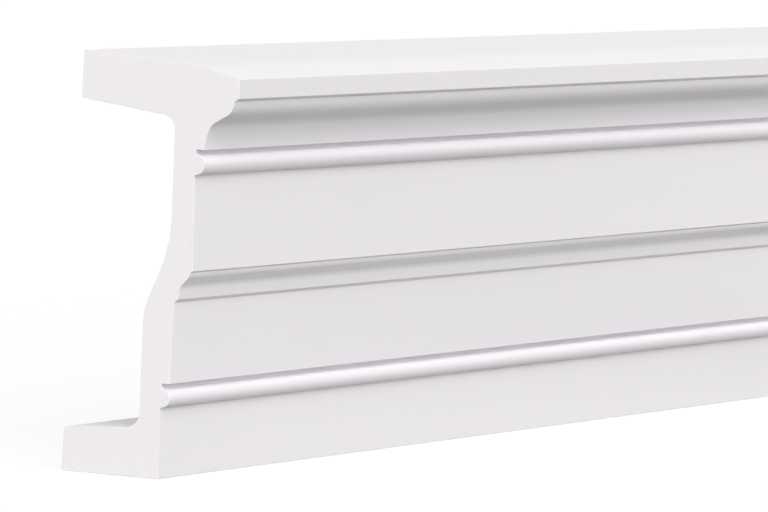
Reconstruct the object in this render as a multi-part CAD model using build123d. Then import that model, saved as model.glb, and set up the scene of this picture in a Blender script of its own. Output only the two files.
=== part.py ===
from build123d import *
import os
from math import radians, tan

# An architrave moulding for a house front, moulded in one piece of white rigid foam.
# Its section is drawn once, with x as the depth from the wall and y as the height above
# the foot, and it runs unchanged along the whole length. Sizes are in millimetres and
# angles in degrees.

# Length that the moulding is sold in
LENGTH = 2000.0

# Heights of the front's bands, from the foot up
FOOT_FASCIA_HEIGHT = 35.45
LOWER_BEAD_DIAMETER = 9.7
QUIRK_HEIGHT = 2.35
MIDDLE_FASCIA_HEIGHT = 40.7
SMALL_LIP_RISE = 1.7
SMALL_CYMA_HEIGHT = 13.6
SMALL_STEP_RISE = 0.9
UPPER_FASCIA_HEIGHT = 47.6
UPPER_BEAD_DIAMETER = 10.35
CROWN_CYMA_HEIGHT = 25.1
FILLET_STEP_RISE = 1.5
FILLET_HEIGHT = 9.7

# Depths of the front's faces from the wall, each fascia at its top
FOOT_FASCIA_DEPTH = 52.2
MIDDLE_FASCIA_DEPTH = 56.6
UPPER_FASCIA_DEPTH = 63.9
CROWN_DEPTH = 85.8

# How far each lip and step stands in front of what is behind it
SMALL_LIP_REACH = 2.0
SMALL_STEP_REACH = 1.2
CROWN_LIP_REACH = 4.5
FILLET_STEP_REACH = 2.3

# Mould draft of the two fascias that stand further forward at their feet
FOOT_FASCIA_DRAFT = 1.2
UPPER_FASCIA_DRAFT = 2.2

# Where each cyma's plain slope begins and ends and where its hollow runs out in a riser, as
# shares of its reach and of its height from its top end down to its lip
CROWN_SLOPE_HEAD = (0.272, 0.303)
CROWN_SLOPE_FOOT = (0.656, 0.444)
CROWN_RISER_HEAD = (0.854, 0.586)
SMALL_SLOPE_HEAD = (0.19, 0.21)
SMALL_SLOPE_FOOT = (0.65, 0.43)
SMALL_RISER_HEAD = (0.9, 0.67)

# The weathered top, which falls gently and then more steeply over the crown
TOP_FALL = 3.0
WASH_FALL = 14.3
WASH_WIDTH = 22.2
WASH_BREAK_RADIUS = 60.0

# The two flanges that reach back to the wall, each thickest at the web
TOP_FLANGE_EDGE = 23.7
TOP_FLANGE_TAPER = 6.6
FOOT_FLANGE_EDGE = 21.9
FOOT_FLANGE_TAPER = 4.0

# The web behind the fascias, with its wall measured at the top of the fascia before it
UPPER_WALL = 11.5
LOWER_WALL = 16.5
WEB_DRAFT = 1.1
BEND_SLOPE = 22.2
BEND_DROP = 4.1

# Rounding of the channel behind the web
UPPER_CORNER_RADIUS = 7.5
UPPER_BEND_RADIUS = 72.0
LOWER_BEND_RADIUS = 35.0
LOWER_CORNER_RADIUS = 8.5

# Rounding of the moulded arrises, while the flanges are trimmed to sharp edges
ARRIS_RADIUS = 0.4
TRIMMED = 0.0

# Heights of the bands' ends above the foot
LOWER_BEAD_TOP = FOOT_FASCIA_HEIGHT + LOWER_BEAD_DIAMETER
MIDDLE_FASCIA_FOOT = LOWER_BEAD_TOP + QUIRK_HEIGHT
MIDDLE_FASCIA_TOP = MIDDLE_FASCIA_FOOT + MIDDLE_FASCIA_HEIGHT
SMALL_LIP = MIDDLE_FASCIA_TOP + SMALL_LIP_RISE
SMALL_CYMA_TOP = SMALL_LIP + SMALL_CYMA_HEIGHT
UPPER_FASCIA_FOOT = SMALL_CYMA_TOP + SMALL_STEP_RISE
UPPER_FASCIA_TOP = UPPER_FASCIA_FOOT + UPPER_FASCIA_HEIGHT
UPPER_BEAD_TOP = UPPER_FASCIA_TOP + UPPER_BEAD_DIAMETER
CROWN_LIP = UPPER_BEAD_TOP + QUIRK_HEIGHT
CROWN_CYMA_TOP = CROWN_LIP + CROWN_CYMA_HEIGHT
FILLET_FOOT = CROWN_CYMA_TOP + FILLET_STEP_RISE
FILLET_TOP = FILLET_FOOT + FILLET_HEIGHT


def rise(run, slope):
    """Height gained over a run at a slope from level, or the depth gained when the slope is from plumb."""
    return run * tan(radians(slope))


def web_back(depth, height, level):
    """Depth of the web's plain back at a level, for a back that passes through one known point."""
    return depth + rise(height - level, WEB_DRAFT)


WASH_BACK = FILLET_TOP + rise(WASH_WIDTH, WASH_FALL)
HEIGHT = WASH_BACK + rise(CROWN_DEPTH - WASH_WIDTH, TOP_FALL)


def foot_flange():
    """Corners and rounding of the foot and of the flange that it carries back to the wall."""
    front = FOOT_FASCIA_DEPTH + rise(FOOT_FASCIA_HEIGHT, FOOT_FASCIA_DRAFT)
    return [
        ((front, 0), TRIMMED),
        ((0, 0), TRIMMED),
        ((0, FOOT_FLANGE_EDGE), TRIMMED),
    ]


def channel():
    """Corners and rounding of the open channel behind the web, from the foot flange up."""
    upper = (UPPER_FASCIA_DEPTH - UPPER_WALL, UPPER_FASCIA_TOP)
    lower = (MIDDLE_FASCIA_DEPTH - LOWER_WALL, MIDDLE_FASCIA_TOP)
    floor = FOOT_FLANGE_EDGE + rise(lower[0], FOOT_FLANGE_TAPER)
    bend_foot = MIDDLE_FASCIA_TOP - BEND_DROP
    bend_foot_depth = web_back(*lower, bend_foot)
    bend_rise = (web_back(*upper, bend_foot) - bend_foot_depth) / (rise(1, BEND_SLOPE) + rise(1, WEB_DRAFT))
    bend_head = bend_foot + bend_rise
    ceiling = HEIGHT - TOP_FLANGE_EDGE - rise(upper[0], TOP_FLANGE_TAPER)
    return [
        ((web_back(*lower, floor), floor), LOWER_CORNER_RADIUS),
        ((bend_foot_depth, bend_foot), LOWER_BEND_RADIUS),
        ((web_back(*upper, bend_head), bend_head), UPPER_BEND_RADIUS),
        ((web_back(*upper, ceiling), ceiling), UPPER_CORNER_RADIUS),
    ]


def top_flange():
    """Corners and rounding of the top flange, its weathered top and the crown's square fillet."""
    return [
        ((0, HEIGHT - TOP_FLANGE_EDGE), TRIMMED),
        ((0, HEIGHT), TRIMMED),
        ((CROWN_DEPTH - WASH_WIDTH, WASH_BACK), WASH_BREAK_RADIUS),
        ((CROWN_DEPTH, FILLET_TOP), ARRIS_RADIUS),
        ((CROWN_DEPTH, FILLET_FOOT), ARRIS_RADIUS),
    ]


def part_way(top, lip, share):
    """The point at two shares, in depth and in height, of the way from a top end down to a lip."""
    return (top[0] + share[0] * (lip[0] - top[0]), top[1] + share[1] * (lip[1] - top[1]))


def cyma(top, lip, slope_head, slope_foot, riser_head):
    """A cyma reversa down to its lip: a convex shoulder, a plain slope, a hollow and a riser."""
    slope = Line(part_way(top, lip, slope_head), part_way(top, lip, slope_foot))
    shoulder = TangentArc(slope @ 0, top, tangent=-(slope % 0))
    hollow = TangentArc(slope @ 1, part_way(top, lip, riser_head), tangent=slope % 1)
    riser = TangentArc(hollow @ 1, lip, tangent=hollow % 1)
    return [shoulder, slope, hollow, riser]


def bead(depth, foot, top):
    """A half-round bead that stands out from a depth, between its foot and its top."""
    radius = (top - foot) / 2
    return ThreePointArc((depth, top), (depth + radius, foot + radius), (depth, foot))


def section():
    """The closed section of the moulding."""
    crown_end = (CROWN_DEPTH - FILLET_STEP_REACH, CROWN_CYMA_TOP)
    crown_lip = (UPPER_FASCIA_DEPTH + CROWN_LIP_REACH, CROWN_LIP)
    upper_fascia_foot = UPPER_FASCIA_DEPTH + rise(UPPER_FASCIA_HEIGHT, UPPER_FASCIA_DRAFT)
    small_cyma_end = (upper_fascia_foot - SMALL_STEP_REACH, SMALL_CYMA_TOP)
    small_lip = (MIDDLE_FASCIA_DEPTH + SMALL_LIP_REACH, SMALL_LIP)

    back = foot_flange() + channel() + top_flange()
    back_outline = FilletPolyline(
        (FOOT_FASCIA_DEPTH, FOOT_FASCIA_HEIGHT),
        *[corner for corner, _ in back],
        crown_end,
        radius=[radius for _, radius in back],
    )
    upper_quirk = Polyline(
        crown_lip,
        (UPPER_FASCIA_DEPTH, CROWN_LIP),
        (UPPER_FASCIA_DEPTH, UPPER_BEAD_TOP),
    )
    upper_fascia = FilletPolyline(
        (UPPER_FASCIA_DEPTH, UPPER_FASCIA_TOP),
        (upper_fascia_foot, UPPER_FASCIA_FOOT),
        small_cyma_end,
        radius=ARRIS_RADIUS / 2,
    )
    middle_fascia = FilletPolyline(
        small_lip,
        (MIDDLE_FASCIA_DEPTH, MIDDLE_FASCIA_TOP),
        (MIDDLE_FASCIA_DEPTH, MIDDLE_FASCIA_FOOT),
        (FOOT_FASCIA_DEPTH, MIDDLE_FASCIA_FOOT),
        (FOOT_FASCIA_DEPTH, LOWER_BEAD_TOP),
        radius=[0, ARRIS_RADIUS, 0],
    )
    outline = [
        back_outline,
        *cyma(crown_end, crown_lip, CROWN_SLOPE_HEAD, CROWN_SLOPE_FOOT, CROWN_RISER_HEAD),
        upper_quirk,
        bead(UPPER_FASCIA_DEPTH, UPPER_FASCIA_TOP, UPPER_BEAD_TOP),
        upper_fascia,
        *cyma(small_cyma_end, small_lip, SMALL_SLOPE_HEAD, SMALL_SLOPE_FOOT, SMALL_RISER_HEAD),
        middle_fascia,
        bead(FOOT_FASCIA_DEPTH, FOOT_FASCIA_HEIGHT, LOWER_BEAD_TOP),
    ]
    return make_face([edge for piece in outline for edge in piece.edges()])


def architrave():
    """The moulding, cut square at both ends, with its foot on the ground and its wall side at the back."""
    end = Plane(origin=(LENGTH / 2, CROWN_DEPTH / 2, 0), x_dir=(0, -1, 0), z_dir=(-1, 0, 0))
    return extrude(end * section(), amount=LENGTH)


os.makedirs("parts", exist_ok=True)
export_step(architrave(), "parts/architrave.step")
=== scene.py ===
"""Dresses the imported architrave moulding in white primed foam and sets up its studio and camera."""

import logging
import math
from dataclasses import dataclass
from enum import Enum

import bmesh
import bpy
from mathutils import Matrix, Vector


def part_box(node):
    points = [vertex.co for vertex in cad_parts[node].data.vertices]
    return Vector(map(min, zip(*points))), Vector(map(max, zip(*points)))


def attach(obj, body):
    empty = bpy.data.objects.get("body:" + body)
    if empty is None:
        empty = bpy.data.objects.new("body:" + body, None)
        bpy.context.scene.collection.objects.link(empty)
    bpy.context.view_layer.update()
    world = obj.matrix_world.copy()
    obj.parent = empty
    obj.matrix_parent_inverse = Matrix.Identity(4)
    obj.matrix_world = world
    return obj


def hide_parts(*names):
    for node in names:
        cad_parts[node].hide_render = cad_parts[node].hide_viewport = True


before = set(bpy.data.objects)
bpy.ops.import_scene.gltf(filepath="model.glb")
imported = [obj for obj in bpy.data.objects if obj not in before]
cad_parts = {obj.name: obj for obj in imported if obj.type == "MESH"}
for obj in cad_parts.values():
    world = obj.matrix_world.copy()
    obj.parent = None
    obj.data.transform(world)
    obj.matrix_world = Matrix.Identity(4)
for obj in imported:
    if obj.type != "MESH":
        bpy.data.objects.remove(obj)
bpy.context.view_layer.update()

NODE = "architrave"
BODY = "root"
MM = 0.001
LOG = logging.getLogger("architrave")

Spot = tuple[float, float]
Colour = tuple[float, float, float, float]

WHITE: Colour = (1.0, 1.0, 1.0, 1.0)


class Surface(Enum):
    """The two surfaces of the moulding, by their material slot."""

    MOULDED = 0
    SAWN = 1


def nothing_selected() -> None:
    """Leaves edit mode and deselects every object."""
    if bpy.context.object is not None and bpy.context.object.mode != "OBJECT":
        bpy.ops.object.mode_set(mode="OBJECT")
    bpy.ops.object.select_all(action="DESELECT")


@dataclass(frozen=True)
class Corner:
    """A corner of the section.

    Attributes:
        depth: distance from the wall, in mm.
        height: distance above the foot, in mm.
        radius: rounding of the corner, in mm.
    """

    depth: float
    height: float
    radius: float = 0.0


class SectionPen:
    """Draws the section in edit mode, as one vertex that is pulled along straights and spun round bends."""

    TURN_STEP = math.radians(5.0)
    NO_MOVE = 1e-6

    def __init__(self, start: Spot, end_x: float, wall_y: float) -> None:
        """Sets the pen down.

        Args:
            start: depth from the wall and height above the foot, in mm.
            end_x: place of the drawing along the moulding, in metres.
            wall_y: place of the wall face across the moulding, in metres.
        """
        self.place = Vector(start)
        self.end_x = end_x
        self.wall_y = wall_y

    def at(self, spot: Vector) -> Vector:
        """Returns the place of a spot of the section in the frame, in metres."""
        return Vector((self.end_x, self.wall_y - spot.x * MM, spot.y * MM))

    def begin(self, name: str) -> bpy.types.Object:
        """Adds a small plane at the start and merges it to the first vertex.

        Args:
            name: name of the new piece.

        Returns:
            The new piece, in edit mode.
        """
        nothing_selected()
        bpy.ops.mesh.primitive_plane_add(size=MM, location=self.at(self.place))
        piece = bpy.context.object
        piece.name = name
        piece.data.name = name
        bpy.ops.object.transform_apply(location=True, rotation=True, scale=True)
        bpy.ops.object.mode_set(mode="EDIT")
        bpy.ops.mesh.select_mode(type="VERT")
        bpy.ops.mesh.select_all(action="SELECT")
        bpy.ops.mesh.merge(type="CENTER")
        return piece

    def pull(self, spot: Vector) -> None:
        """Draws a straight to a spot, unless the pen is there already.

        Args:
            spot: where the straight ends, in the section.
        """
        if (spot - self.place).length > self.NO_MOVE:
            move = self.at(spot) - self.at(self.place)
            bpy.ops.mesh.extrude_vertices_move(TRANSFORM_OT_translate={"value": move})
            self.place = spot

    def turn(self, centre: Vector, angle: float) -> None:
        """Draws an arc.

        Args:
            centre: the arc's centre, in the section.
            angle: how far it turns, in radians, positive from the depth towards the height.
        """
        steps = max(2, math.ceil(abs(angle) / self.TURN_STEP))
        bpy.ops.mesh.spin(steps=steps, angle=angle, center=self.at(centre), axis=(1, 0, 0))
        self.place = centre + Matrix.Rotation(angle, 2) @ (self.place - centre)

    def curve(self, end: Vector, heading: Vector) -> Vector:
        """Draws the arc that leaves in a heading and ends at a spot.

        Args:
            end: where the arc ends.
            heading: unit vector of the direction that it starts in.

        Returns:
            Unit vector of the direction that it ends in.
        """
        chord = end - self.place
        side = Vector((-heading.y, heading.x))
        radius = chord.length_squared / (2 * side.dot(chord))
        angle = 2 * math.atan2(side.dot(chord), heading.dot(chord))
        self.turn(self.place + side * radius, angle)
        return Matrix.Rotation(angle, 2) @ heading

    def follow(self, corners: list[Corner], end: Corner) -> None:
        """Draws straights from corner to corner, rounds each corner and stops at the end.

        Args:
            corners: the corners on the way, in order.
            end: the last corner, which stays sharp.
        """
        for corner, onward in zip(corners, corners[1:] + [end]):
            spot = Vector((corner.depth, corner.height))
            arriving = (spot - self.place).normalized()
            leaving = (Vector((onward.depth, onward.height)) - spot).normalized()
            angle = math.atan2(arriving.x * leaving.y - arriving.y * leaving.x, arriving.dot(leaving))
            tangent = spot - arriving * corner.radius * math.tan(abs(angle) / 2)
            self.pull(tangent)
            if corner.radius > 0:
                side = Vector((-arriving.y, arriving.x)) * math.copysign(corner.radius, angle)
                self.turn(tangent + side, angle)
        self.pull(Vector((end.depth, end.height)))

    def close(self) -> None:
        """Joins the end of the drawing to its start and fills it with one face."""
        bpy.ops.mesh.select_all(action="SELECT")
        bpy.ops.mesh.remove_doubles(threshold=self.NO_MOVE)
        bpy.ops.mesh.edge_face_add()


@dataclass(frozen=True)
class Cyma:
    """A cyma reversa: a convex shoulder, a plain slope, a hollow and a flatter riser.

    Attributes:
        slope_head: where the slope begins, in shares of the reach and height from the top end to the lip.
        slope_foot: where it ends, in the same shares.
        riser_head: where the hollow runs out in the riser, in the same shares.
    """

    slope_head: Spot
    slope_foot: Spot
    riser_head: Spot

    def draw(self, pen: SectionPen, lip: Vector) -> None:
        """Draws the cyma down from the pen.

        Args:
            pen: the pen, at the cyma's top end.
            lip: the cyma's lower end.
        """
        top = pen.place
        shares = (self.slope_head, self.slope_foot, self.riser_head)
        slope_head, slope_foot, riser_head = (top + (lip - top) * Vector(share) for share in shares)
        slope = (slope_foot - slope_head).normalized()
        chord = (slope_head - top).normalized()
        pen.curve(slope_head, 2 * slope.dot(chord) * chord - slope)
        pen.pull(slope_foot)
        riser = pen.curve(riser_head, slope)
        pen.curve(lip, riser)


@dataclass
class Architrave:
    """The moulding, run out of one section.

    Sizes are in mm and angles in degrees. Depths are measured from the wall and heights from the foot.
    """

    END_FACING = 0.99
    SHARPEST_BEND = math.radians(24.0)
    FLATS_WEIGHT = 100

    length: float = 2000.0
    stretches: int = 20
    saw_break: float = 0.12

    foot_fascia_height: float = 35.45
    lower_bead_diameter: float = 9.7
    quirk_height: float = 2.35
    middle_fascia_height: float = 40.7
    small_lip_rise: float = 1.7
    small_cyma_height: float = 13.6
    small_step_rise: float = 0.9
    upper_fascia_height: float = 47.6
    upper_bead_diameter: float = 10.35
    crown_cyma_height: float = 25.1
    fillet_step_rise: float = 1.5
    fillet_height: float = 9.7

    foot_fascia_depth: float = 52.2
    middle_fascia_depth: float = 56.6
    upper_fascia_depth: float = 63.9
    crown_depth: float = 85.8
    small_lip_reach: float = 2.0
    small_step_reach: float = 1.2
    crown_lip_reach: float = 4.5
    fillet_step_reach: float = 2.3
    foot_fascia_draft: float = 1.2
    upper_fascia_draft: float = 2.2

    crown_cyma: Cyma = Cyma(slope_head=(0.272, 0.303), slope_foot=(0.656, 0.444), riser_head=(0.854, 0.586))
    small_cyma: Cyma = Cyma(slope_head=(0.19, 0.21), slope_foot=(0.65, 0.43), riser_head=(0.9, 0.67))

    top_fall: float = 3.0
    wash_fall: float = 14.3
    wash_width: float = 22.2
    wash_break_radius: float = 60.0
    top_flange_edge: float = 23.7
    top_flange_taper: float = 6.6
    foot_flange_edge: float = 21.9
    foot_flange_taper: float = 4.0

    upper_wall: float = 11.5
    lower_wall: float = 16.5
    web_draft: float = 1.1
    bend_slope: float = 22.2
    bend_drop: float = 4.1
    upper_corner_radius: float = 7.5
    upper_bend_radius: float = 72.0
    lower_bend_radius: float = 35.0
    lower_corner_radius: float = 8.5

    arris_radius: float = 0.4
    trimmed_radius: float = 0.3

    def __post_init__(self) -> None:
        """Adds up the heights at which the bands of the front end."""
        self.lower_bead_top = self.foot_fascia_height + self.lower_bead_diameter
        self.middle_fascia_foot = self.lower_bead_top + self.quirk_height
        self.middle_fascia_top = self.middle_fascia_foot + self.middle_fascia_height
        self.small_lip = self.middle_fascia_top + self.small_lip_rise
        self.small_cyma_top = self.small_lip + self.small_cyma_height
        self.upper_fascia_foot = self.small_cyma_top + self.small_step_rise
        self.upper_fascia_top = self.upper_fascia_foot + self.upper_fascia_height
        self.upper_bead_top = self.upper_fascia_top + self.upper_bead_diameter
        self.crown_lip = self.upper_bead_top + self.quirk_height
        self.crown_cyma_top = self.crown_lip + self.crown_cyma_height
        self.fillet_foot = self.crown_cyma_top + self.fillet_step_rise
        self.fillet_top = self.fillet_foot + self.fillet_height
        self.wash_back = self.fillet_top + self.rise(self.wash_width, self.wash_fall)
        self.height = self.wash_back + self.rise(self.crown_depth - self.wash_width, self.top_fall)

    @staticmethod
    def rise(run: float, slope: float) -> float:
        """Returns the height gained over a run at a slope in degrees."""
        return run * math.tan(math.radians(slope))

    def web_back(self, depth: float, height: float, level: float) -> float:
        """Finds where the web's plain back is at a level.

        Args:
            depth: depth of a known point of the back.
            height: height of that point.
            level: the height asked for.

        Returns:
            The depth of the back at that level.
        """
        return depth + self.rise(height - level, self.web_draft)

    def foot(self) -> list[Corner]:
        """Lists the corners of the foot and its flange.

        Returns:
            The corners, from the foot fascia back to the wall and up.
        """
        front = self.foot_fascia_depth + self.rise(self.foot_fascia_height, self.foot_fascia_draft)
        return [
            Corner(front, 0, self.trimmed_radius),
            Corner(0, 0, self.trimmed_radius),
            Corner(0, self.foot_flange_edge, self.trimmed_radius),
        ]

    def channel(self) -> list[Corner]:
        """Lists the corners of the open channel behind the web.

        Returns:
            The corners, from the foot up.
        """
        upper = (self.upper_fascia_depth - self.upper_wall, self.upper_fascia_top)
        lower = (self.middle_fascia_depth - self.lower_wall, self.middle_fascia_top)
        floor = self.foot_flange_edge + self.rise(lower[0], self.foot_flange_taper)
        bend_foot = self.middle_fascia_top - self.bend_drop
        bend_foot_depth = self.web_back(*lower, bend_foot)
        gap = self.web_back(*upper, bend_foot) - bend_foot_depth
        bend_head = bend_foot + gap / (self.rise(1, self.bend_slope) + self.rise(1, self.web_draft))
        ceiling = self.height - self.top_flange_edge - self.rise(upper[0], self.top_flange_taper)
        return [
            Corner(self.web_back(*lower, floor), floor, self.lower_corner_radius),
            Corner(bend_foot_depth, bend_foot, self.lower_bend_radius),
            Corner(self.web_back(*upper, bend_head), bend_head, self.upper_bend_radius),
            Corner(self.web_back(*upper, ceiling), ceiling, self.upper_corner_radius),
        ]

    def top(self) -> list[Corner]:
        """Lists the corners of the top flange, the weathered top and the crown's square fillet.

        Returns:
            The corners, from the wall to the front.
        """
        return [
            Corner(0, self.height - self.top_flange_edge, self.trimmed_radius),
            Corner(0, self.height, self.trimmed_radius),
            Corner(self.crown_depth - self.wash_width, self.wash_back, self.wash_break_radius),
            Corner(self.crown_depth, self.fillet_top, self.arris_radius),
            Corner(self.crown_depth, self.fillet_foot, self.arris_radius),
        ]

    @staticmethod
    def bead(pen: SectionPen, diameter: float) -> None:
        """Draws a half-round bead down from the pen."""
        pen.turn(pen.place - Vector((0, diameter / 2)), -math.pi)

    def draw(self, pen: SectionPen) -> None:
        """Draws the whole section, from the foot fascia round the back and down the front.

        Args:
            pen: the pen, at the top of the foot fascia.
        """
        upper_foot = self.upper_fascia_depth + self.rise(self.upper_fascia_height, self.upper_fascia_draft)
        crown_end = Corner(self.crown_depth - self.fillet_step_reach, self.crown_cyma_top)
        pen.follow(self.foot() + self.channel() + self.top(), crown_end)
        self.crown_cyma.draw(pen, Vector((self.upper_fascia_depth + self.crown_lip_reach, self.crown_lip)))
        quirk = Corner(self.upper_fascia_depth, self.crown_lip)
        pen.follow([quirk], Corner(self.upper_fascia_depth, self.upper_bead_top))
        self.bead(pen, self.upper_bead_diameter)
        foot_arris = Corner(upper_foot, self.upper_fascia_foot, self.arris_radius / 2)
        pen.follow([foot_arris], Corner(upper_foot - self.small_step_reach, self.small_cyma_top))
        small_lip = (self.middle_fascia_depth + self.small_lip_reach, self.small_lip)
        self.small_cyma.draw(pen, Vector(small_lip))
        middle = [
            Corner(self.middle_fascia_depth, self.middle_fascia_top),
            Corner(self.middle_fascia_depth, self.middle_fascia_foot, self.arris_radius),
            Corner(self.foot_fascia_depth, self.middle_fascia_foot),
        ]
        pen.follow(middle, Corner(self.foot_fascia_depth, self.lower_bead_top))
        self.bead(pen, self.lower_bead_diameter)

    def run_out(self) -> None:
        """Runs the drawn section out along the moulding, in equal stretches."""
        stretch = (self.length - 2 * self.saw_break) * MM / self.stretches
        for _ in range(self.stretches):
            bpy.ops.mesh.extrude_region_move(TRANSFORM_OT_translate={"value": (stretch, 0, 0)})
        bpy.ops.mesh.select_all(action="SELECT")
        bpy.ops.mesh.normals_make_consistent(inside=False)

    def break_sawn_arrises(self, piece: bpy.types.Object) -> None:
        """Gives each sawn end its finish and a fine chamfer, which brings the moulding to its full length.

        Args:
            piece: the moulding, in edit mode.
        """
        bpy.ops.mesh.select_mode(type="FACE")
        bpy.ops.mesh.select_all(action="DESELECT")
        mesh = bmesh.from_edit_mesh(piece.data)
        mesh.faces.ensure_lookup_table()
        for face in mesh.faces:
            face.select_set(abs(face.normal.x) > self.END_FACING)
        bmesh.update_edit_mesh(piece.data)
        piece.active_material_index = Surface.SAWN.value
        bpy.ops.object.material_slot_assign()
        bpy.ops.mesh.inset(thickness=self.saw_break * MM, depth=self.saw_break * MM)

    def smooth(self, piece: bpy.types.Object) -> None:
        """Shades the bends smooth and keeps the flats flat.

        Args:
            piece: the moulding.
        """
        bpy.ops.object.mode_set(mode="OBJECT")
        bpy.ops.object.shade_smooth_by_angle(angle=self.SHARPEST_BEND)
        bpy.ops.object.modifier_add(type="WEIGHTED_NORMAL")
        flats = piece.modifiers[-1]
        flats.keep_sharp = True
        flats.weight = self.FLATS_WEIGHT
        bpy.ops.object.modifier_apply(modifier=flats.name)

    def build(self, finishes: dict[Surface, bpy.types.Material]) -> bpy.types.Object:
        """Models the moulding, dresses it and lets it stand for its CAD node.

        Args:
            finishes: the material of each surface.

        Returns:
            The finished moulding.
        """
        low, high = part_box(NODE)
        pen = SectionPen(
            start=(self.foot_fascia_depth, self.foot_fascia_height),
            end_x=low.x + self.saw_break * MM,
            wall_y=high.y,
        )
        piece = pen.begin("moulding")
        self.draw(pen)
        pen.close()
        self.run_out()
        for surface in Surface:
            piece.data.materials.append(finishes[surface])
        self.break_sawn_arrises(piece)
        self.smooth(piece)
        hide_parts(NODE)
        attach(piece, BODY)
        LOG.info("%s: %d faces, %.1f mm high", piece.name, len(piece.data.polygons), self.height)
        return piece


class Nodes:
    """A node tree that is filled node by node."""

    COLUMN_WIDTH = 200

    def __init__(self, tree: bpy.types.NodeTree) -> None:
        """Takes over an empty tree."""
        self.tree = tree
        self.column = 0

    def add(self, kind: str, inputs: dict | None = None, **settings: object) -> bpy.types.Node:
        """Adds a node to the right of the last one.

        Args:
            kind: the node's type.
            inputs: for each input by name or number, a value or the output socket that feeds it.
            settings: the node's own settings.

        Returns:
            The new node.
        """
        node = self.tree.nodes.new(kind)
        node.location = (self.column * self.COLUMN_WIDTH, 0)
        self.column += 1
        for name, value in settings.items():
            setattr(node, name, value)
        for name, value in (inputs or {}).items():
            if isinstance(value, bpy.types.NodeSocket):
                self.tree.links.new(value, node.inputs[name])
            else:
                node.inputs[name].default_value = value
        return node


class Effect:
    """A shader node group that every finish may use with its own values."""

    NAME = "effect"
    INPUTS: dict[str, tuple[str, object]] = {}
    OUTPUTS: dict[str, str] = {}

    def group(self) -> bpy.types.NodeTree:
        """Builds the group at its first use.

        Returns:
            The group.
        """
        found = bpy.data.node_groups.get(self.NAME)
        if found is not None:
            return found
        tree = bpy.data.node_groups.new(self.NAME, "ShaderNodeTree")
        for name, (kind, value) in self.INPUTS.items():
            tree.interface.new_socket(name=name, in_out="INPUT", socket_type=kind).default_value = value
        for name, kind in self.OUTPUTS.items():
            tree.interface.new_socket(name=name, in_out="OUTPUT", socket_type=kind)
        nodes = Nodes(tree)
        results = self.fill(nodes, nodes.add("NodeGroupInput"))
        nodes.add("NodeGroupOutput", results)
        return tree

    def fill(self, nodes: Nodes, given: bpy.types.Node) -> dict[str, bpy.types.NodeSocket]:
        """Adds the group's own nodes.

        Args:
            nodes: the group's tree.
            given: the node that holds the group's inputs.

        Returns:
            The socket that feeds each output.
        """
        raise NotImplementedError


class ToneDrift(Effect):
    """A paint film that is a touch lighter and darker, and glossier and duller, from place to place."""

    NAME = "tone_drift"
    INPUTS = {
        "Colour": ("NodeSocketColor", (0.8, 0.8, 0.8, 1.0)),
        "Share": ("NodeSocketFloat", 0.01),
        "Patch": ("NodeSocketFloat", 0.1),
        "Roughness": ("NodeSocketFloat", 0.5),
        "Roughness Share": ("NodeSocketFloat", 0.05),
    }
    OUTPUTS = {"Colour": "NodeSocketColor", "Roughness": "NodeSocketFloat"}

    def fill(self, nodes: Nodes, given: bpy.types.Node) -> dict[str, bpy.types.NodeSocket]:
        """Shifts the colour and the roughness by a soft cloud pattern.

        Args:
            nodes: the group's tree.
            given: the node that holds the group's inputs.

        Returns:
            The sockets of the colour and the roughness.
        """
        place = nodes.add("ShaderNodeTexCoord").outputs["Object"]
        per_metre = nodes.add("ShaderNodeMath", {0: 1.0, 1: given.outputs["Patch"]}, operation="DIVIDE")
        cloud = nodes.add(
            "ShaderNodeTexNoise",
            {"Vector": place, "Scale": per_metre.outputs[0], "Detail": 3.0, "Roughness": 0.55},
        )
        centred = nodes.add("ShaderNodeMath", {0: cloud.outputs["Fac"], 1: 0.5}, operation="SUBTRACT")
        tone = nodes.add(
            "ShaderNodeMath",
            {0: centred.outputs[0], 1: given.outputs["Share"], 2: 1.0},
            operation="MULTIPLY_ADD",
        )
        colour = nodes.add(
            "ShaderNodeVectorMath", {0: given.outputs["Colour"], "Scale": tone.outputs[0]}, operation="SCALE"
        )
        gloss = nodes.add(
            "ShaderNodeMath",
            {0: centred.outputs[0], 1: given.outputs["Roughness Share"], 2: given.outputs["Roughness"]},
            operation="MULTIPLY_ADD",
        )
        return {"Colour": colour.outputs["Vector"], "Roughness": gloss.outputs[0]}


class SkinRelief(Effect):
    """The fine peel of a sprayed film over the slow swell of the moulded foam."""

    NAME = "skin_relief"
    INPUTS = {
        "Peel": ("NodeSocketFloat", 0.002),
        "Peel Height": ("NodeSocketFloat", 0.5),
        "Swell": ("NodeSocketFloat", 0.06),
        "Swell Height": ("NodeSocketFloat", 1.0),
    }
    OUTPUTS = {"Height": "NodeSocketFloat"}

    def fill(self, nodes: Nodes, given: bpy.types.Node) -> dict[str, bpy.types.NodeSocket]:
        """Adds the two patterns up to one height.

        Args:
            nodes: the group's tree.
            given: the node that holds the group's inputs.

        Returns:
            The socket of the height.
        """
        place = nodes.add("ShaderNodeTexCoord").outputs["Object"]
        height: bpy.types.NodeSocket | float = 0.0
        for pattern, detail in (("Peel", 2.0), ("Swell", 1.0)):
            per_metre = nodes.add("ShaderNodeMath", {0: 1.0, 1: given.outputs[pattern]}, operation="DIVIDE")
            noise = nodes.add(
                "ShaderNodeTexNoise", {"Vector": place, "Scale": per_metre.outputs[0], "Detail": detail}
            )
            height = nodes.add(
                "ShaderNodeMath",
                {0: noise.outputs["Fac"], 1: given.outputs[f"{pattern} Height"], 2: height},
                operation="MULTIPLY_ADD",
            ).outputs[0]
        return {"Height": height}


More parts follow.
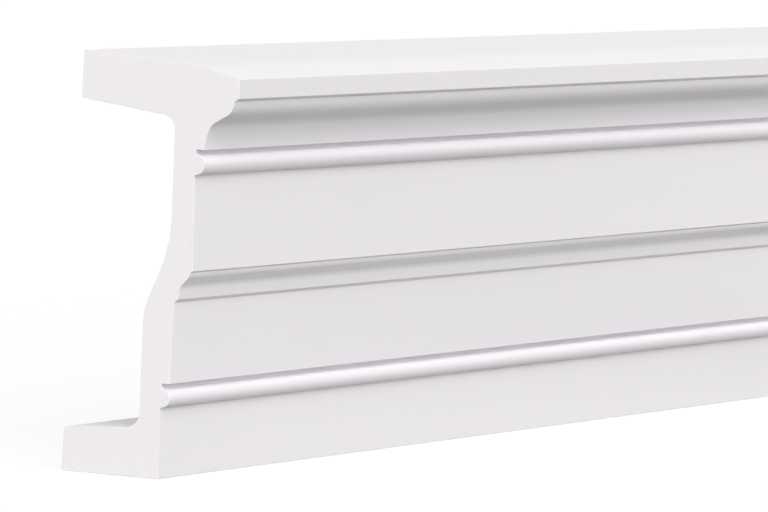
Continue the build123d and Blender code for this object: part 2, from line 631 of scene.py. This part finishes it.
@dataclass(frozen=True)
class PrimedFoam:
    """White primer on rigid foam, as one of the moulding's two surfaces.

    Attributes:
        name: name of the material.
        colour: colour of the primer.
        tone_share: how far the tone drifts from place to place.
        patch: size of the patches in which tone and gloss drift, in metres.
        roughness: mean roughness.
        roughness_share: how far the roughness drifts.
        ior: index of refraction of the primer.
        peel: size of the finest relief, in metres.
        peel_height: its height, in hundredths of a mm.
        swell: size of the slowest relief, in metres.
        swell_height: its height, in hundredths of a mm.
        cells: size of the foam cells that a saw opened, in metres, or 0 for a closed skin.
        cell_height: their depth, in hundredths of a mm.
        cell_bottom: how far a cell's bottom reaches from its middle, as a share of the cells' size.
        cell_rim: how far from its middle it comes up to the surface, in the same shares.
    """

    HEIGHT_UNIT = 0.01 * MM

    name: str
    colour: Colour = (0.881, 0.852, 0.880, 1.0)
    tone_share: float = 0.02
    patch: float = 0.12
    roughness: float = 0.42
    roughness_share: float = 0.08
    ior: float = 1.45
    peel: float = 0.0024
    peel_height: float = 0.35
    swell: float = 0.09
    swell_height: float = 4.0
    cells: float = 0.0
    cell_height: float = 0.0
    cell_bottom: float = 0.15
    cell_rim: float = 0.6

    def opened_cells(self, nodes: Nodes, film: bpy.types.NodeSocket) -> bpy.types.NodeSocket:
        """Cuts the foam's opened cells into a relief.

        Args:
            nodes: the material's tree.
            film: height of the film.

        Returns:
            The height with the cells in it.
        """
        place = nodes.add("ShaderNodeTexCoord").outputs["Object"]
        cell = nodes.add("ShaderNodeTexVoronoi", {"Vector": place, "Scale": 1 / self.cells}, feature="F1")
        pit = nodes.add(
            "ShaderNodeMapRange",
            {
                "Value": cell.outputs["Distance"],
                "From Min": self.cell_bottom,
                "From Max": self.cell_rim,
                "To Min": -1.0,
                "To Max": 0.0,
            },
        )
        return nodes.add(
            "ShaderNodeMath", {0: pit.outputs[0], 1: self.cell_height, 2: film}, operation="MULTIPLY_ADD"
        ).outputs[0]

    def material(self) -> bpy.types.Material:
        """Makes the material.

        Returns:
            The finished material.
        """
        made = bpy.data.materials.new(self.name)
        made.use_nodes = True
        made.node_tree.nodes.clear()
        nodes = Nodes(made.node_tree)
        tone = nodes.add(
            "ShaderNodeGroup",
            {
                "Colour": self.colour,
                "Share": self.tone_share,
                "Patch": self.patch,
                "Roughness": self.roughness,
                "Roughness Share": self.roughness_share,
            },
            node_tree=ToneDrift().group(),
        )
        relief = nodes.add(
            "ShaderNodeGroup",
            {
                "Peel": self.peel,
                "Peel Height": self.peel_height,
                "Swell": self.swell,
                "Swell Height": self.swell_height,
            },
            node_tree=SkinRelief().group(),
        )
        height = relief.outputs["Height"]
        if self.cells > 0:
            height = self.opened_cells(nodes, height)
        bump = nodes.add("ShaderNodeBump", {"Strength": 1.0, "Distance": self.HEIGHT_UNIT, "Height": height})
        shader = nodes.add(
            "ShaderNodeBsdfPrincipled",
            {
                "Base Color": tone.outputs["Colour"],
                "Roughness": tone.outputs["Roughness"],
                "IOR": self.ior,
                "Normal": bump.outputs["Normal"],
            },
        )
        nodes.add("ShaderNodeOutputMaterial", {"Surface": shader.outputs["BSDF"]})
        return made


@dataclass(frozen=True)
class SoftLight:
    """A soft light from one side, as even on the far end of the moulding as on the near one.

    Attributes:
        name: name of the lamp.
        share: light that a face square to it gets, where 1 shows a colour as it is written.
        turn: direction that it comes from, in degrees from the front towards the near end.
        lift: its height above the horizon, in degrees.
        spread: how wide it is, in degrees.
    """

    STAND_OFF = 3.0

    name: str
    share: float
    turn: float
    lift: float
    spread: float

    def build(self) -> None:
        """Adds the lamp."""
        turn, lift = math.radians(self.turn), math.radians(self.lift)
        source = Vector((-math.sin(turn) * math.cos(lift), -math.cos(turn) * math.cos(lift), math.sin(lift)))
        nothing_selected()
        bpy.ops.object.light_add(type="SUN", location=source * self.STAND_OFF)
        lamp = bpy.context.object
        lamp.name = self.name
        lamp.rotation_mode = "QUATERNION"
        lamp.rotation_quaternion = source.to_track_quat("Z", "Y")
        lamp.data.energy = self.share * math.pi
        lamp.data.angle = math.radians(self.spread)


@dataclass
class Studio:
    """A plain pale floor under soft light.

    Attributes:
        floor_size: side of the floor, in metres.
        floor_gap: how far the floor lies under the foot, in metres.
        floor_tone: what the floor gives back of the light.
        floor_lift: what the floor adds for the camera, which makes it white outside the shadow.
        sky: strength of the even light from all round.
        lights: the soft lights.
    """

    floor_size: float = 600.0
    floor_gap: float = 0.0001
    floor_tone: float = 0.15
    floor_lift: float = 0.88
    sky: float = 0.39
    lights: tuple[SoftLight, ...] = (
        SoftLight("low_light", share=1.03, turn=48.5, lift=15.0, spread=70.0),
        SoftLight("high_light", share=0.265, turn=48.0, lift=38.0, spread=45.0),
    )

    @staticmethod
    def seen_directly(nodes: Nodes) -> bpy.types.NodeSocket:
        """Makes a mask of what the camera sees directly, in a reflection or through glass.

        Args:
            nodes: the tree of the material or the world.

        Returns:
            The socket of the mask.
        """
        path = nodes.add("ShaderNodeLightPath").outputs
        mirrored = nodes.add(
            "ShaderNodeMath", {0: path["Is Camera Ray"], 1: path["Is Glossy Ray"]}, operation="MAXIMUM"
        )
        return nodes.add(
            "ShaderNodeMath", {0: mirrored.outputs[0], 1: path["Is Transmission Ray"]}, operation="MAXIMUM"
        ).outputs[0]

    def light_sky(self) -> None:
        """Lights the scene evenly from all round and shows white behind the floor."""
        world = bpy.data.worlds.new("studio_sky")
        bpy.context.scene.world = world
        world.use_nodes = True
        world.node_tree.nodes.clear()
        nodes = Nodes(world.node_tree)
        mask = self.seen_directly(nodes)
        strength = nodes.add("ShaderNodeMapRange", {"Value": mask, "To Min": self.sky, "To Max": 1.0})
        background = nodes.add("ShaderNodeBackground", {"Color": WHITE, "Strength": strength.outputs[0]})
        nodes.add("ShaderNodeOutputWorld", {"Surface": background.outputs[0]})

    def lay_floor(self) -> None:
        """Lays the pale floor, which keeps the moulding's shadow."""
        nothing_selected()
        bpy.ops.mesh.primitive_plane_add(size=self.floor_size, location=(0, 0, -self.floor_gap))
        floor = bpy.context.object
        floor.name = "studio_floor"
        paint = bpy.data.materials.new("studio_floor")
        paint.use_nodes = True
        paint.node_tree.nodes.clear()
        nodes = Nodes(paint.node_tree)
        mask = self.seen_directly(nodes)
        lift = nodes.add("ShaderNodeMath", {0: mask, 1: self.floor_lift}, operation="MULTIPLY")
        glow = nodes.add("ShaderNodeEmission", {"Color": WHITE, "Strength": lift.outputs[0]})
        tone = (self.floor_tone, self.floor_tone, self.floor_tone, 1)
        matt = nodes.add("ShaderNodeBsdfDiffuse", {"Color": tone})
        both = nodes.add("ShaderNodeAddShader", {0: matt.outputs[0], 1: glow.outputs[0]})
        nodes.add("ShaderNodeOutputMaterial", {"Surface": both.outputs[0]})
        floor.data.materials.append(paint)

    def build(self) -> None:
        """Sets up the floor, the light and the plain view settings."""
        bpy.context.scene.view_settings.view_transform = "Standard"
        self.light_sky()
        for light in self.lights:
            light.build()
        self.lay_floor()
        LOG.info("studio: %.0f m floor", self.floor_size)


@dataclass
class PhotoCamera:
    """The camera at the photograph's viewing angle.

    Attributes:
        lens: focal length, in mm.
        sensor: width of the sensor, in mm.
        target: the spot that the middle of the image looks at, in metres.
        distance: how far the camera is from it, in metres.
        heading: the direction that it looks in, in degrees from +Y towards +X.
        tilt: how far it looks down, in degrees.
        roll: how far it is turned about its own line of sight, in degrees.
        reach: how far it sees, in metres.
    """

    lens: float = 421.88
    sensor: float = 36.0
    target: tuple[float, float, float] = (-1.0, -0.1258, 0.1201)
    distance: float = 4.4099
    heading: float = 66.209
    tilt: float = 3.655
    roll: float = 3.233
    reach: float = 200.0

    def build(self) -> bpy.types.Object:
        """Adds the camera and makes it the scene's own.

        Returns:
            The camera.
        """
        heading, tilt = math.radians(self.heading), math.radians(self.tilt)
        forward = Vector(
            (math.sin(heading) * math.cos(tilt), math.cos(heading) * math.cos(tilt), -math.sin(tilt))
        )
        level = Vector((math.cos(heading), -math.sin(heading), 0.0))
        upright = level.cross(forward)
        roll = math.radians(self.roll)
        right = level * math.cos(roll) + upright * math.sin(roll)
        up = right.cross(forward)
        nothing_selected()
        bpy.ops.object.camera_add(location=Vector(self.target) - forward * self.distance)
        camera = bpy.context.object
        camera.name = "photo_camera"
        camera.rotation_mode = "QUATERNION"
        camera.rotation_quaternion = Matrix((right, up, -forward)).transposed().to_quaternion()
        camera.data.sensor_width = self.sensor
        camera.data.lens = self.lens
        camera.data.clip_end = self.reach
        bpy.context.scene.camera = camera
        LOG.info("camera: %.0f mm lens, %.2f m away", self.lens, self.distance)
        return camera


def main() -> None:
    """Builds the moulding, the studio and the camera, and keeps the hidden CAD node beside the new moulding.
    """
    logging.basicConfig(level=logging.INFO)
    finishes = {
        Surface.MOULDED: PrimedFoam(name="primed_skin").material(),
        Surface.SAWN: PrimedFoam(
            name="sawn_foam", roughness=0.6, peel_height=0.6, swell_height=1.0, cells=0.0009, cell_height=0.6
        ).material(),
    }
    Architrave().build(finishes)
    Studio().build()
    PhotoCamera().build()


if __name__ == "__main__":
    main()
